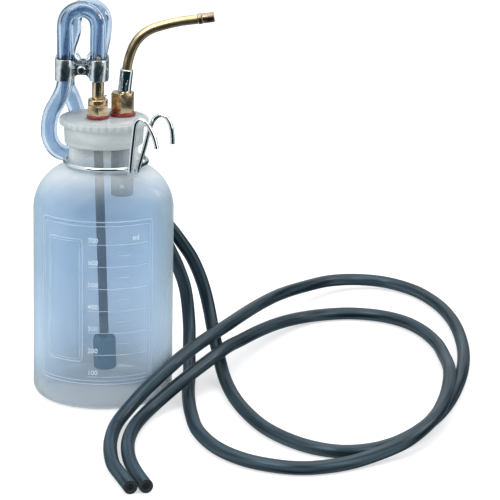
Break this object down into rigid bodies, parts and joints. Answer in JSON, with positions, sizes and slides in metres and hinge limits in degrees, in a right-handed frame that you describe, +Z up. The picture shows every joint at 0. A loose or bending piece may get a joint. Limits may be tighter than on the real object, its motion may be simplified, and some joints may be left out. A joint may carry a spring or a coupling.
{
  "type": "collection bottle for a hand vacuum pump",
  "caption": "Screw-capped translucent bottle with brass fittings, clamped clear hose, bent outlet tube, wire holder, valves inside and loose rubber hoses.",
  "frame": {"origin": "centre of the bottle's flat base, on its axis", "axes": "+Z up along the bottle; -Y is the front, with the level scale; the outlet tube points to +X"},
  "size_m": [0.3026, 0.4742, 0.2685],
  "materials": {
    "polyethylene": "milky, slightly glossy",
    "white_plastic": "milky satin",
    "brass": "machined",
    "bronze": "dark machined",
    "chrome": "bright plated",
    "steel": "plain",
    "red_fibre": "smooth pressed fibre",
    "teal_plastic": "satin",
    "grey_plastic": "satin",
    "clear_vinyl": "clear, tinted blue",
    "rubber": "smooth extruded"
  },
  "bodies": {
    "bottle": {"bottle": "polyethylene", "rubber_hose_1": "rubber", "rubber_hose_2": "rubber"},
    "cap_gasket": {"cap_gasket": "grey_plastic"},
    "cap": {"cap": "white_plastic", "suction_fitting": "brass", "suction_washer": "red_fibre", "suction_lock_nut": "brass", "outlet_fitting": "brass", "outlet_washer": "red_fibre", "outlet_lock_nut": "brass", "float_cage": "teal_plastic", "float_seal": "red_fibre", "dip_tube": "grey_plastic", "foot_valve_body": "teal_plastic", "foot_valve_plug": "teal_plastic", "clear_hose": "clear_vinyl", "clamp_front_strap": "chrome", "clamp_back_strap": "chrome", "clamp_bolt": "steel", "clamp_washer": "steel"},
    "outlet_tube": {"outlet_tube": "brass", "outlet_sleeve": "chrome", "outlet_tip_ring": "bronze", "outlet_tip_sleeve": "bronze"},
    "vent_collar": {"vent_collar": "brass", "vent_pin": "chrome"},
    "wire_holder": {"wire_holder": "chrome"},
    "clamp_wing_nut": {"clamp_wing_nut": "chrome"},
    "float_ball": {"float_ball": "white_plastic"},
    "foot_valve_ball": {"foot_valve_ball": "steel"}
  },
  "joints": [
    {"name": "cap_lift", "type": "slide", "parent": "bottle", "child": "cap_gasket", "axis": [0, 0, 1], "range_m": [0, 0.006]},
    {"name": "cap_turn", "type": "hinge", "parent": "cap_gasket", "child": "cap", "pos_m": [0, 0, 0.188], "axis": [0, 0, 1], "range_deg": [0, 540]},
    {"name": "holder_turn", "type": "hinge", "parent": "cap", "child": "wire_holder", "pos_m": [0, 0, 0.1613], "axis": [0, 0, 1], "range_deg": [-95, 125]},
    {"name": "outlet_swivel", "type": "hinge", "parent": "cap", "child": "outlet_tube", "pos_m": [0.012, 0.0072, 0.196], "axis": [0.1045, 0, 0.9945], "range_deg": [-110, 110]},
    {"name": "vent_turn", "type": "hinge", "parent": "cap", "child": "vent_collar", "pos_m": [-0.0039, -0.0029, 0.2015], "axis": [0, 0, 1], "range_deg": [0, 60]},
    {"name": "wing_nut_spin", "type": "hinge", "parent": "cap", "child": "clamp_wing_nut", "pos_m": [-0.01475, 0.0155, 0.223], "axis": [0, 1, 0], "continuous": true},
    {"name": "float_rise", "type": "slide", "parent": "cap", "child": "float_ball", "axis": [0, 0, 1], "range_m": [0, 0.013]},
    {"name": "foot_ball_rise", "type": "slide", "parent": "cap", "child": "foot_valve_ball", "axis": [-0.0327, -0.02, 0.9993], "range_m": [0, 0.003]}
  ],
  "couplings": [
    {"joint": "cap_lift", "follows": "cap_turn", "m_per_rad": 0.000636}
  ]
}
